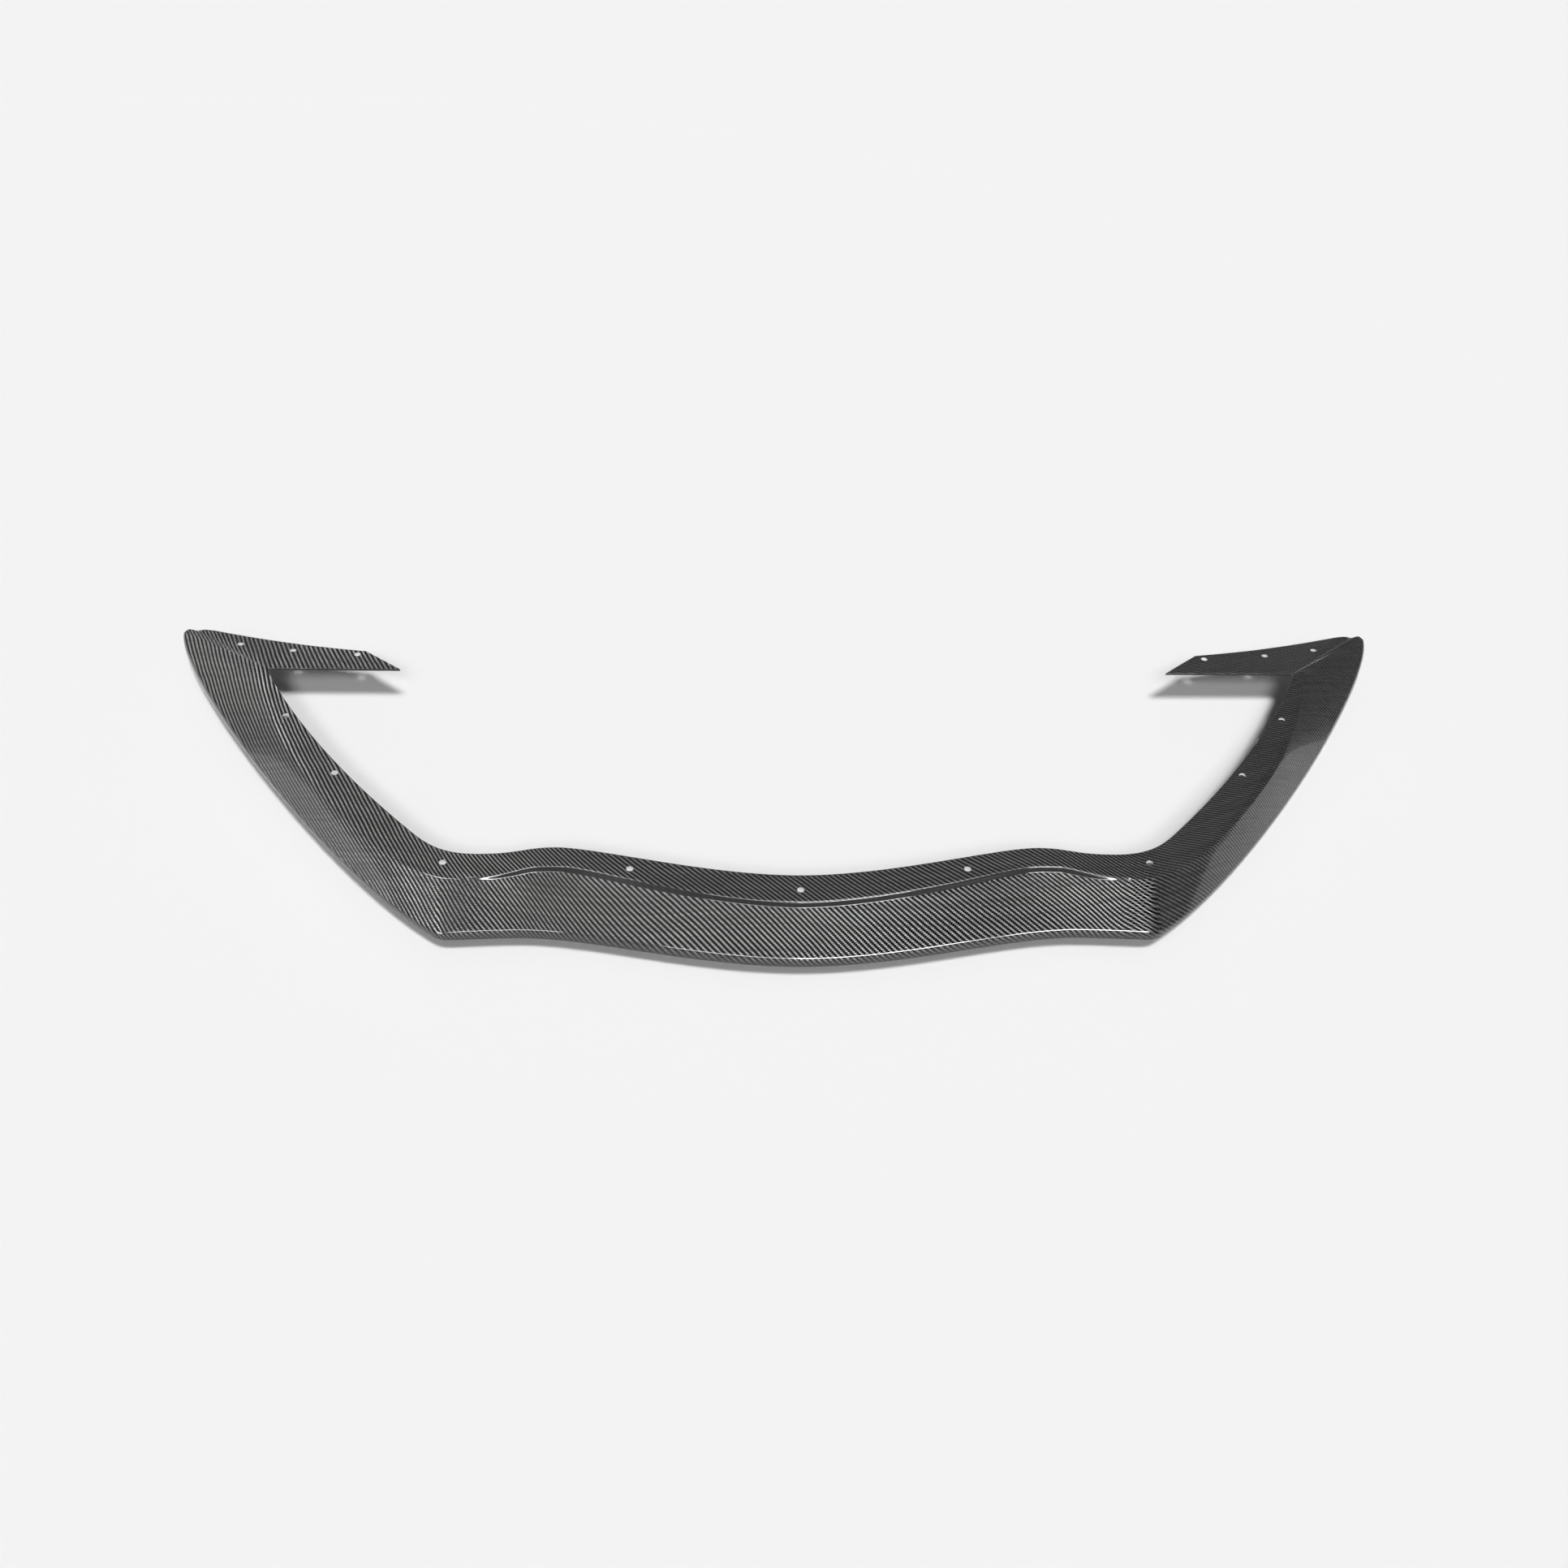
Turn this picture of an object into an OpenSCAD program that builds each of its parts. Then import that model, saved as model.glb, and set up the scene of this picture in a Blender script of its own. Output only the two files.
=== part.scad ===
// Front splitter lip: one moulded laminate that wraps round the lower edge of a bumper.
// A level mounting flange follows the inner edge, a blade falls away from it to a turned-down rim,
// and at the rear of each arm a flat hook reaches inwards.
// Plan points are measured from the foremost point of the nose, x to the right and y to the rear.

/* [Overall] */
// Width across the rear corners, before they are rounded
overall_w = 1698; // [1560:1:1840]
// Length from the nose to the rear corners, before they are rounded
overall_d = 671; // [590:1:760]
// Height of the mounting flange over the foot of the rim
flange_z = 50; // [42:0.5:60]
// Thickness of the laminate
laminate = 3; // [2:0.1:3.5]

/* [Nose] */
// Distance between the two front corners
corner_gap = 888; // [820:1:940]
// How far the front corners lie behind the foremost point
corner_set = 47; // [35:0.5:60]
// Distance from the middle to the waist, where the front edge is furthest back
waist_x = 345; // [320:1:365]
// How far the waist lies behind the foremost point
waist_set = 51; // [38:0.5:64]
// Width of the laminate at the middle of the nose
nose_w = 112; // [100:0.5:125]

/* [Inner edge] */
// Distance from the middle to the crest of the inner edge
crest_x = 305; // [285:1:325]
// How far the crest lies behind the middle of the inner edge
crest_rise = 52; // [40:0.5:62]
// Distance from the middle to the dip before the arms
dip_x = 402; // [390:1:415]
// How far the dip lies ahead of the crest
dip_drop = 12.5; // [6:0.5:18]
// Sideways distance from the dip to the start of the arm
bend_x = 98; // [88:1:108]
// Rearward distance from the dip to the start of the arm
bend_y = 56.5; // [50:0.5:64]

/* [Arms and hooks] */
// Sideways distance from the rear corner to the root between arm and hook
root_x = 139.5; // [130:0.5:150]
// Distance from the rear corner forward to that root
root_y = 140; // [130:1:152]
// Length of the hook from the root to its tip
hook_reach = 180.5; // [140:0.5:210]
// Length of the hook's mitred end along x
mitre_x = 51; // [35:1:65]
// Width of the hook at its mitred end
hook_w = 50; // [42:0.5:58]
// Height of the hook's rear edge where the mitre begins
hook_rear_z = 43; // [36:0.5:50]
// Height of the rear edge where the rim has died away
rear_edge_z = 18; // [14:0.5:24]

/* [Flange] */
// Width of the flange at the middle of the nose
flange_nose = 49; // [44:0.5:54]
// Width of the flange at the crest
flange_crest = 35; // [30:0.5:40]
// Width of the flange at the dip
flange_dip = 43; // [38:0.5:48]
// Width of the flange at the start of the arm
flange_arm = 39; // [34:0.5:43]
// Width of the flange half way along the arm
flange_middle = 34; // [30:0.5:38]

/* [Blade and rim] */
// Height of the step between flange and blade along the nose
nose_step = 7; // [4:0.5:9]
// Height of the softer step along the arms
arm_step = 2.5; // [1:0.5:4]
// Length over which the step falls
step_run = 4.5; // [4:0.5:7]
// How far the blade bulges above a straight fall
crown = 2.5; // [0:0.5:4]
// Outer radius of the turned edge
edge_r = 7; // [5:0.5:9]
// Straight part of the rim along the nose
nose_rim = 8; // [5:0.5:10]
// Straight part of the rim along the arms
arm_rim = 4; // [3:0.5:8]
// Straight part of the rim at the rear corners
rear_rim = 10; // [4:0.5:11]

/* [Mounting holes] */
// Diameter of the mounting holes
hole_d = 9; // [6:0.1:11]
// Distance of the middle hole from the inner edge
hole_inset_nose = 27; // [20:0.5:32]
// Distance of the other front holes from the inner edge
hole_inset_front = 22; // [18:0.5:28]
// Distance of the arm holes from the inner edge
hole_inset_arm = 12; // [10:0.5:20]
// Distance of the hook's outer hole from the rear edge
hole_inset_outer = 30; // [20:0.5:36]
// Distance of the hook's middle hole from the rear edge
hole_inset_middle = 25; // [18:0.5:32]
// Distance of the hook's inner hole from the rear edge
hole_inset_tip = 11; // [9:0.5:20]

/* [Hidden] */
corner_r = 10;          // rounding of the front corners
rear_corner_r = 12;     // rounding of the rear corners
root_r = 6;             // rounding of the sharp root between arm and hook
round_pull = 0.6;       // how far a rounding's control points reach towards its corner
hook_skew = 1;          // how far the hook's front edge drifts forward on its way to the tip
flange_end = 10;        // width of the flange at the end of the arm
flange_root = 6;        // width that the flange keeps at the root and along the hook
rim_end = 1.5;          // straight part of the edge where the rim has died away
rear_fade = 0.16;       // share of the rear edge over which the rim dies away
step_parts = 3;
blade_parts = 5;
roll_parts = 4;
through = 1;            // how far a hole's cutter runs past the part
carbon = [0.13, 0.13, 0.14];

// Landmarks of the outer edge
nose = [0, 0];
waist = [waist_x, waist_set];
corner = [corner_gap / 2, corner_set];
rear = [overall_w / 2, overall_d];
// Landmarks of the inner edge
inner_nose = [0, nose_w];
crest = inner_nose + [crest_x, crest_rise];
dip = [dip_x, crest.y - dip_drop];
arm_start = dip + [bend_x, bend_y];
root = rear - [root_x, root_y];
tip = root - [hook_reach, hook_skew];
mitre = tip + [mitre_x, hook_w];

// Directions of the edges in plan, as angles from +x
nose_dir = 0;
corner_in = -2;
arm_out_start = 38;
arm_out_end = 78;
arm_in_start = 49;
arm_in_end = 67;
rear_dir = atan2(mitre.y - rear.y, mitre.x - rear.x);
root_dir = atan2(tip.y - root.y, tip.x - root.x);

function unit(a) = [cos(a), sin(a)];
function left_of(v) = [-v.y, v.x];
function lerp(a, b, t) = a + (b - a) * t;

// A curve's four control points, from its ends and their directions.
// Each end's pull is a share of the distance between them.
function bend(p, a, pull_p, q, b, pull_q) =
    let (d = norm(q - p))
    [p, p + pull_p * d * unit(a), q - pull_q * d * unit(b), q];
function line(p, q) = [p, lerp(p, q, 1 / 3), lerp(q, p, 1 / 3), q];
// The rounding of a sharp corner that is reached in direction a and left in direction b
function rounding(p, a, b, r) =
    let (c = 1 - round_pull)
    [p - r * unit(a), p - c * r * unit(a), p + c * r * unit(b), p + r * unit(b)];
function on_curve(c, t) =
    pow(1 - t, 3) * c[0] + 3 * pow(1 - t, 2) * t * c[1] + 3 * (1 - t) * t * t * c[2] + pow(t, 3) * c[3];
function curve_dir(c, t) =
    let (v = pow(1 - t, 2) * (c[1] - c[0]) + 2 * (1 - t) * t * (c[2] - c[1]) + t * t * (c[3] - c[2]))
    v / norm(v);

// The outer edge: nose, waist, front corner, arm, rear corner, rear edge
front_round = rounding(corner, corner_in, arm_out_start, corner_r);
rear_round = rounding(rear, arm_out_end, rear_dir, rear_corner_r);
outer_path = [
    bend(nose, nose_dir, 0.373, waist, nose_dir, 0.255),
    bend(waist, nose_dir, 0.337, front_round[0], corner_in, 0.314),
    front_round,
    bend(front_round[3], arm_out_start, 0.257, rear_round[0], arm_out_end, 0.153),
    rear_round,
    line(rear_round[3], mitre)
];

// The inner edge: crest, dip, bend, arm, root, front of the hook
root_round = rounding(root, arm_in_end, root_dir, root_r);
inner_path = [
    bend(inner_nose, nose_dir, 0.372, crest, nose_dir, 0.168),
    bend(crest, nose_dir, 0.389, dip, nose_dir, 0.532),
    bend(dip, nose_dir, 0.46, arm_start, arm_in_start, 0.371),
    bend(arm_start, arm_in_start, 0.317, root_round[0], arm_in_end, 0.317),
    root_round,
    line(root_round[3], tip)
];

rear_line = len(outer_path) - 1; // place where the straight rear edge starts

// A place on a path: the whole part of t picks the curve
function path_at(path, t) = let (k = min(floor(t), len(path) - 1)) on_curve(path[k], t - k);
function path_dir(path, t) = let (k = min(floor(t), len(path) - 1)) curve_dir(path[k], t - k);

// Ribs cross the laminate from the inner edge to the outer edge. These are the main ones, in order.
at_nose = 0;
at_crest = 1;
at_dip = 2;
at_corner = 3;
past_corner = 4;
at_arm = 5;
mid_arm = 6;
arm_end = 7;
at_rear = 8;
past_rear = 9;
rim_gone = 10;
at_hook = 11;
at_tip = 12;
// For each main rib: its place on the inner path, its place on the outer path, and the ribs up to the next
pairs = [
    [0, 0, 13],
    [1, 0.865, 6],
    [2, 1.66, 3],
    [2.18, 2, 4],
    [2.26, 3, 6],
    [3, 3.22, 7],
    [3.5, 3.47, 7],
    [4, 3.76, 5],
    [4.4, 4, 5],
    [4.6, rear_line, 3],
    [4.75, rear_line + rear_fade, 3],
    [5, rear_line + 0.54, 6],
    [6, rear_line + 1, 0]
];
rib_places = [
    for (k = [at_nose:at_tip - 1]) for (j = [0:pairs[k][2] - 1]) k + j / pairs[k][2],
    at_tip
];
function paired(s, side) =
    let (k = min(floor(s), at_tip - 1))
    lerp(pairs[k][side], pairs[k + 1][side], s - k);

// A smooth curve through [place, value] rows
function slope(rows, k) =
    let (a = max(k - 1, 0), b = min(k + 1, len(rows) - 1))
    (rows[b][1] - rows[a][1]) / (rows[b][0] - rows[a][0]);
function row_of(rows, s, k = 0) = k >= len(rows) - 2 || s < rows[k + 1][0] ? k : row_of(rows, s, k + 1);
function smooth(rows, s) =
    let (
        k = row_of(rows, s),
        span = rows[k + 1][0] - rows[k][0],
        t = min(max((s - rows[k][0]) / span, 0), 1),
        a = slope(rows, k) * span,
        b = slope(rows, k + 1) * span
    )
    (2 * t * t * t - 3 * t * t + 1) * rows[k][1] + (t * t * t - 2 * t * t + t) * a
        + (3 * t * t - 2 * t * t * t) * rows[k + 1][1] + (t * t * t - t * t) * b;
function eased(s, from, to) = let (t = min(max((s - from) / (to - from), 0), 1)) t * t * (3 - 2 * t);

// How the section changes from rib to rib
flange_rows = [
    [at_nose, flange_nose],
    [0.55, lerp(flange_nose, flange_crest, 0.3)],
    [at_crest, flange_crest],
    [at_dip, flange_dip],
    [at_arm, flange_arm],
    [mid_arm, flange_middle],
    [arm_end, flange_end],
    [at_rear, flange_root],
    [at_tip, flange_root]
];
function flange_w(s) = smooth(flange_rows, s);
// The step is crisp along the nose, runs out before the corner and comes back softly on the arm
function step_h(s) =
    lerp(nose_step * (1 - eased(s, at_crest + 0.2, at_dip)), arm_step, eased(s, past_corner, at_arm + 0.5))
        * (1 - eased(s, mid_arm, arm_end + 0.5));
// The rim gets lower on the arm, rises again at the rear corner and dies away behind it
function rim_lost(s) = eased(s, past_rear, rim_gone);
function rim(s) =
    let (
        arm = lerp(nose_rim, arm_rim, eased(s, at_dip, at_arm)),
        corner = lerp(arm, rear_rim, eased(s, arm_end, at_rear))
    )
    lerp(corner, rim_end, rim_lost(s));
// How far the section has changed from a blade with a flange to the hook's flat plate
function hooked(s) = eased(s, arm_end, past_rear);
// Height of the lowest point of the outer edge
function foot_z(s) =
    s < rim_gone
        ? rear_edge_z * rim_lost(s)
        : lerp(rear_edge_z, hook_rear_z, (paired(s, 1) - rear_line - rear_fade) / (1 - rear_fade));

function fall_dir(a) = [cos(a), -sin(a)];
function sum_dirs(angles, from) =
    from >= len(angles) ? [0, 0] : fall_dir(angles[from]) + sum_dirs(angles, from + 1);

// Points of the upper face of a rib, as [distance from the inner edge, height]
function upper(s, w) =
    let (
        fw = flange_w(s),
        h = step_h(s),
        foot = foot_z(s),
        tilt = hooked(s) * (flange_z - foot) / w,
        top = [for (k = [0:step_parts]) let (t = k / step_parts, u = fw + t * step_run)
            [u, flange_z - tilt * u - h * t * t * (3 - 2 * t)]],
        start = top[step_parts],
        bulge = crown * (1 - hooked(s)),
        fall = start.y - foot - (rim(s) + edge_r) * (1 - rim_lost(s)),
        down = atan2(fall + 4 * bulge, w - start.x),
        end_dir = lerp(90, down, rim_lost(s)),
        bit = edge_r * (90 - down) * PI / 180 / roll_parts,
        turns = [for (k = [0:roll_parts - 1]) lerp(down, end_dir, (k + 0.5) / roll_parts)],
        rim_top = [w, foot] - rim(s) * fall_dir(end_dir),
        roll = [for (k = [0:roll_parts]) rim_top - bit * sum_dirs(turns, k)],
        blade = [for (k = [1:blade_parts - 1]) let (t = k / blade_parts)
            lerp(start, roll[0], t) + [0, 4 * bulge * t * (1 - t)]]
    )
    concat([[0, flange_z]], top, blade, roll, [[w, foot]]);

// The lower face lies one laminate below, square to the upper face
function below(p) = [for (k = [0:len(p) - 1])
    let (
        a = p[k] - p[max(k - 1, 0)],
        b = p[min(k + 1, len(p) - 1)] - p[k],
        ua = norm(a) > 0 ? a / norm(a) : b / norm(b),
        ub = norm(b) > 0 ? b / norm(b) : ua,
        mid = (ua + ub) / norm(ua + ub)
    )
    p[k] - left_of(mid) * laminate / (mid * ua)];

// One closed rib: the upper face outwards, then the lower face back
function rib(s) =
    let (
        a = path_at(inner_path, paired(s, 0)),
        b = path_at(outer_path, paired(s, 1)),
        w = norm(b - a),
        dir = (b - a) / w,
        up = upper(s, w),
        down = below(up),
        n = len(up)
    )
    [for (k = [0:2 * n - 1]) let (q = k < n ? up[k] : down[2 * n - 1 - k]) [
        a.x + dir.x * q.x,
        a.y + dir.y * q.x,
        q.y
    ]];

right_ribs = [for (s = rib_places) rib(s)];
ribs = [
    for (k = [len(right_ribs) - 1:-1:1]) [for (p = right_ribs[k]) [-p.x, p.y, p.z]],
    each right_ribs
];
ring_n = len(ribs[0]);
half_depth = max([for (r = right_ribs) for (p = r) p.y]) / 2;

module skin() {
    points = [for (r = ribs) each r];
    last = len(ribs) - 1;
    sides = [for (k = [0:last - 1]) for (j = [0:ring_n - 1])
        let (a = k * ring_n + j, b = k * ring_n + (j + 1) % ring_n, c = a + ring_n, d = b + ring_n)
        each [[a, c, b], [b, c, d]]];
    function end_face(k, flip) = [for (j = [0:ring_n / 2 - 2])
        let (a = k * ring_n + j, b = a + 1, d = (k + 1) * ring_n - 1 - j, c = d - 1)
        each flip ? [[a, c, b], [a, d, c]] : [[a, b, c], [a, c, d]]];
    polyhedron(points, concat(sides, end_face(0, false), end_face(last, true)));
}

// A mounting hole's place: along a path, and in from that edge
function hole_place(path, t, inset) = path_at(path, t) + inset * left_of(path_dir(path, t));
// Places along the inner edge and along the rear edge, each with its inset
inner_holes = [
    [0.594, hole_inset_front],
    [2.266, hole_inset_front],
    [3.364, hole_inset_arm],
    [3.723, hole_inset_arm]
];
rear_holes = [
    [rear_line + 0.352, hole_inset_outer],
    [rear_line + 0.637, hole_inset_middle],
    [rear_line + 0.97, hole_inset_tip]
];
right_holes = [
    for (h = inner_holes) hole_place(inner_path, h[0], -h[1]),
    for (h = rear_holes) hole_place(outer_path, h[0], h[1])
];
hole_places = [
    hole_place(inner_path, 0, -hole_inset_nose),
    each right_holes,
    for (p = right_holes) [-p.x, p.y]
];

module splitter_lip() {
    color(carbon)
        translate([0, -half_depth, 0])
            difference() {
                skin();
                for (p = hole_places)
                    translate([p.x, p.y, -through])
                        cylinder(d = hole_d, h = flange_z + 2 * through, $fn = 48);
            }
}

splitter_lip();
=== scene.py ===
# %% [markdown]
# # A woven carbon splitter lip
#
# The object is the thin apron that is screwed under a car's front bumper. It is one sheet of woven
# carbon fibre, pressed in a mould and sealed under clear resin. This notebook loads the measured
# CAD model, builds the same shape again with smooth curves and a cloth map, gives it a twill weave,
# and lights it on a pale studio floor. Every length in the shape cells is in millimetres, as it was
# measured, and becomes metres when the mesh is made.

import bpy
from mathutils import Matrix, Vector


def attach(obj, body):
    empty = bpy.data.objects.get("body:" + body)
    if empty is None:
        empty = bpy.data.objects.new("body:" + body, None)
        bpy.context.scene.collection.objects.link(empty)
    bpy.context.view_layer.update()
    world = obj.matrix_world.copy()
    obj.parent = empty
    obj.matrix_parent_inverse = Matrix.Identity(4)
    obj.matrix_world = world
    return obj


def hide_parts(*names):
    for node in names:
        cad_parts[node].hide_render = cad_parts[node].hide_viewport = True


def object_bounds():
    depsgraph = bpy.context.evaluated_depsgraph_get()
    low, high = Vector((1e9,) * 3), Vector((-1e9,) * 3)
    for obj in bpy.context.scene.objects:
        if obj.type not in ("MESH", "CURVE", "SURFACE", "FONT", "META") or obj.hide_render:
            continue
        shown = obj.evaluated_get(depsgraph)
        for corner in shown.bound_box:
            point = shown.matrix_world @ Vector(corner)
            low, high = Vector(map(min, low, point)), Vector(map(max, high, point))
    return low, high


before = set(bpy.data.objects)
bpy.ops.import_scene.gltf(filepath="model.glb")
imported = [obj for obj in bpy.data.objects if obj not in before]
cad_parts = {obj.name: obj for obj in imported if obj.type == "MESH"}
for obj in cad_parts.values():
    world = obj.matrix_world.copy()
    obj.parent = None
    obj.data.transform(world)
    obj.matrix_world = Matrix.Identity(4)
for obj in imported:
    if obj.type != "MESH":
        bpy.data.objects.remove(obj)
cad_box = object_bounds()
print("CAD box in metres:", [tuple(round(v, 4) for v in corner) for corner in cad_box])

# %% [markdown]
# ## Tools for the shape
#
# The lip is long and thin, so it is described the way a boat builder would: two edge lines seen from
# above, and ribs that cross from one line to the other. Each edge line is a chain of Bezier curves.
# A Bezier curve needs only its two ends, the direction at each end, and how hard each end pulls.

# %% Curves in plan
import math

import bpy
import numpy as np
from mathutils import Matrix, Vector


def unit(angle):
    """A step of length 1 in a direction given in degrees."""
    return np.array([math.cos(math.radians(angle)), math.sin(math.radians(angle))])


def bend(p, a, pull_p, q, b, pull_q):
    """Four control points of a curve from p in direction a to q in direction b."""
    d = np.linalg.norm(q - p)
    return [p, p + pull_p * d * unit(a), q - pull_q * d * unit(b), q]


def straight(p, q):
    """Four control points of a straight piece."""
    return [p, p + (q - p) / 3, q + (p - q) / 3, q]


def rounding(p, a, b, r, pull=0.6):
    """A rounded corner at p, reached in direction a and left in direction b."""
    return [p - r * unit(a), p - (1 - pull) * r * unit(a), p + (1 - pull) * r * unit(b), p + r * unit(b)]


def place(path, t):
    """The point at t on a chain of curves. The whole part of t picks the curve."""
    k = min(int(t), len(path) - 1)
    c, t = path[k], t - k
    return (1 - t) ** 3 * c[0] + 3 * (1 - t) ** 2 * t * c[1] + 3 * (1 - t) * t * t * c[2] + t ** 3 * c[3]


# %% [markdown]
# ## The two edge lines
#
# The outer line runs along the nose, round the front corner, back along the arm and round the rear
# corner to the hook. The inner line follows the bumper: a crest and a dip on each side of the nose,
# then the arm, a sharp root, and the front of the hook. Only the right half is drawn, because the
# left half is its mirror image.

# %% Landmarks and edge lines, in millimetres from the foremost point
def point(x, y):
    """A place in plan."""
    return np.array([x, y], float)


nose, waist, corner, rear = point(0, 0), point(345, 51), point(444, 47), point(849, 671)
inner_nose, crest, dip = point(0, 112), point(305, 164), point(402, 151.5)
arm_start = dip + point(98, 56.5)
root = rear - point(139.5, 140)
tip = root - point(180.5, 1)
mitre = tip + point(51, 50)
rear_dir = math.degrees(math.atan2(*(mitre - rear)[::-1]))
root_dir = math.degrees(math.atan2(*(tip - root)[::-1]))

CORNER_IN, CORNER_OUT, REAR_IN, ARM_OUT, ROOT_IN = -2, 38, 86, 49, 67
front_round = rounding(corner, CORNER_IN, CORNER_OUT, 10)
rear_round = rounding(rear - point(2, 0), REAR_IN, rear_dir, 9)
outer_line = [
    bend(nose, 0, 0.373, waist, 0, 0.255),
    bend(waist, 0, 0.337, front_round[0], CORNER_IN, 0.314),
    front_round,
    bend(front_round[3], CORNER_OUT, 0.257, rear_round[0], REAR_IN, 0.12),
    rear_round,
    bend(rear_round[3], rear_dir + 4, 0.33, mitre, rear_dir - 4, 0.33),
]
root_round = rounding(root, ROOT_IN, root_dir, 6)
inner_line = [
    bend(inner_nose, 0, 0.372, crest, 0, 0.168),
    bend(crest, 0, 0.389, dip, 0, 0.532),
    bend(dip, 0, 0.46, arm_start, ARM_OUT, 0.371),
    bend(arm_start, ARM_OUT, 0.317, root_round[0], ROOT_IN, 0.317),
    root_round,
    straight(root_round[3], tip),
]
print("Nose to rear corner:", round(float(rear_round[0][1]), 1), "mm")

# %% [markdown]
# ## How the section changes
#
# A rib number s runs from 0 at the middle of the nose to 12 at the hook's tip, and each row below
# pairs a place on the inner line with one on the outer line. Along the way the flange gets narrower,
# the step under it fades out and comes back softly, and behind the arm the folded rim dies away
# until only a flat plate is left. Smooth functions of s keep all of these changes gradual, since a
# jump would show as a crease in the gloss. The arm ends in a plate that tilts up towards the back,
# and BACK_EDGE says how far its rear edge has risen. The rise is slow at the corner and settles
# later, so that the slope of the arm runs over into the plate without a fold.

# %% Rib pairs and the values that change along them
AT_CREST, AT_DIP, PAST_CORNER, AT_ARM, MID_ARM = 1, 2, 4, 5, 6
ARM_END, AT_REAR, PAST_REAR, RIM_GONE, AT_TIP = 7, 8, 9, 10, 12
PAIRS = [(0, 0), (1, 0.865), (2, 1.66), (2.18, 2), (2.26, 3), (3, 3.22), (3.5, 3.47), (4, 3.76),
         (4.4, 4), (4.6, 5), (4.75, 5.16), (5, 5.54), (6, 6)]
FLANGE = [(0, 49), (0.55, 44.8), (1, 35), (2, 43), (5, 39), (6, 34), (7, 10), (8, 6), (12, 6)]
BACK_EDGE = [(8.6, 0), (9, 8), (9.3, 15), (9.6, 20.5), (10, 23.5), (11, 31.5), (12, 43)]
FLANGE_Z, THICK, EDGE_R, CROWN = 50, 3, 7, 2.5
NOSE_STEP, ARM_STEP = 7, 1.4
NOSE_STEP_RUN, ARM_STEP_RUN = 4.5, 10.5
NOSE_RIM, ARM_RIM, REAR_RIM, HOOK_RIM = 8, 4, 7, 1.5
REAR_LEAD = 0.4


def eased(s, start, end):
    """0 up to the start, 1 from the end on, and a soft rise between them."""
    t = min(max((s - start) / (end - start), 0), 1)
    return t * t * (3 - 2 * t)


def smooth(rows, s):
    """A smooth curve through (place, value) rows."""
    k = max(i for i in range(len(rows) - 1) if i == 0 or s >= rows[i][0])

    def slope(i):
        before, after = rows[max(i - 1, 0)], rows[min(i + 1, len(rows) - 1)]
        return (after[1] - before[1]) / (after[0] - before[0])

    span = rows[k + 1][0] - rows[k][0]
    t = min(max((s - rows[k][0]) / span, 0), 1)
    return ((2 * t ** 3 - 3 * t * t + 1) * rows[k][1] + (t ** 3 - 2 * t * t + t) * slope(k) * span
            + (3 * t * t - 2 * t ** 3) * rows[k + 1][1] + (t ** 3 - t * t) * slope(k + 1) * span)


def paired(s):
    """The places on the inner and the outer line that rib s joins."""
    k = min(int(s), AT_TIP - 1)
    return [PAIRS[k][side] + (PAIRS[k + 1][side] - PAIRS[k][side]) * (s - k) for side in (0, 1)]


def step_height(s):
    """How far the blade starts below the flange."""
    nose_part = NOSE_STEP * (1 - eased(s, AT_CREST + 0.2, AT_DIP + 0.6))
    arm_part = eased(s, PAST_CORNER, AT_ARM + 0.5)
    return (nose_part + (ARM_STEP - nose_part) * arm_part) * (1 - eased(s, MID_ARM, ARM_END + 0.5))


def rim_lost(s):
    """How much of the folded rim has gone: 0 is all there, 1 is a flat plate."""
    return eased(s, PAST_REAR - REAR_LEAD, RIM_GONE - REAR_LEAD)


def rim_height(s):
    """The straight part of the rim below the rolled edge."""
    arm = NOSE_RIM + (ARM_RIM - NOSE_RIM) * eased(s, AT_DIP, AT_ARM)
    back = arm + (REAR_RIM - arm) * eased(s, ARM_END, AT_REAR)
    return back + (HOOK_RIM - back) * rim_lost(s)


def foot_height(s):
    """The height of the outer edge, 0 everywhere but on the hook."""
    return smooth(BACK_EDGE, max(s, PAST_REAR - REAR_LEAD))


print("Step under the flange at the nose:", step_height(0), "mm, on the arm:", step_height(MID_ARM), "mm")

# %% [markdown]
# ## One rib
#
# The upper face of a rib is a level flange, an S-shaped step, a slightly crowned blade, a rolled edge
# and a short straight rim. The lower face lies 3 mm under it. The two cut edges get a tiny rounding,
# because a real trimmed and lacquered edge always catches a thread of light and a perfectly sharp one
# never does. Each point also remembers how far along the cloth it lies, and whether it is resin-rich.

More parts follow.
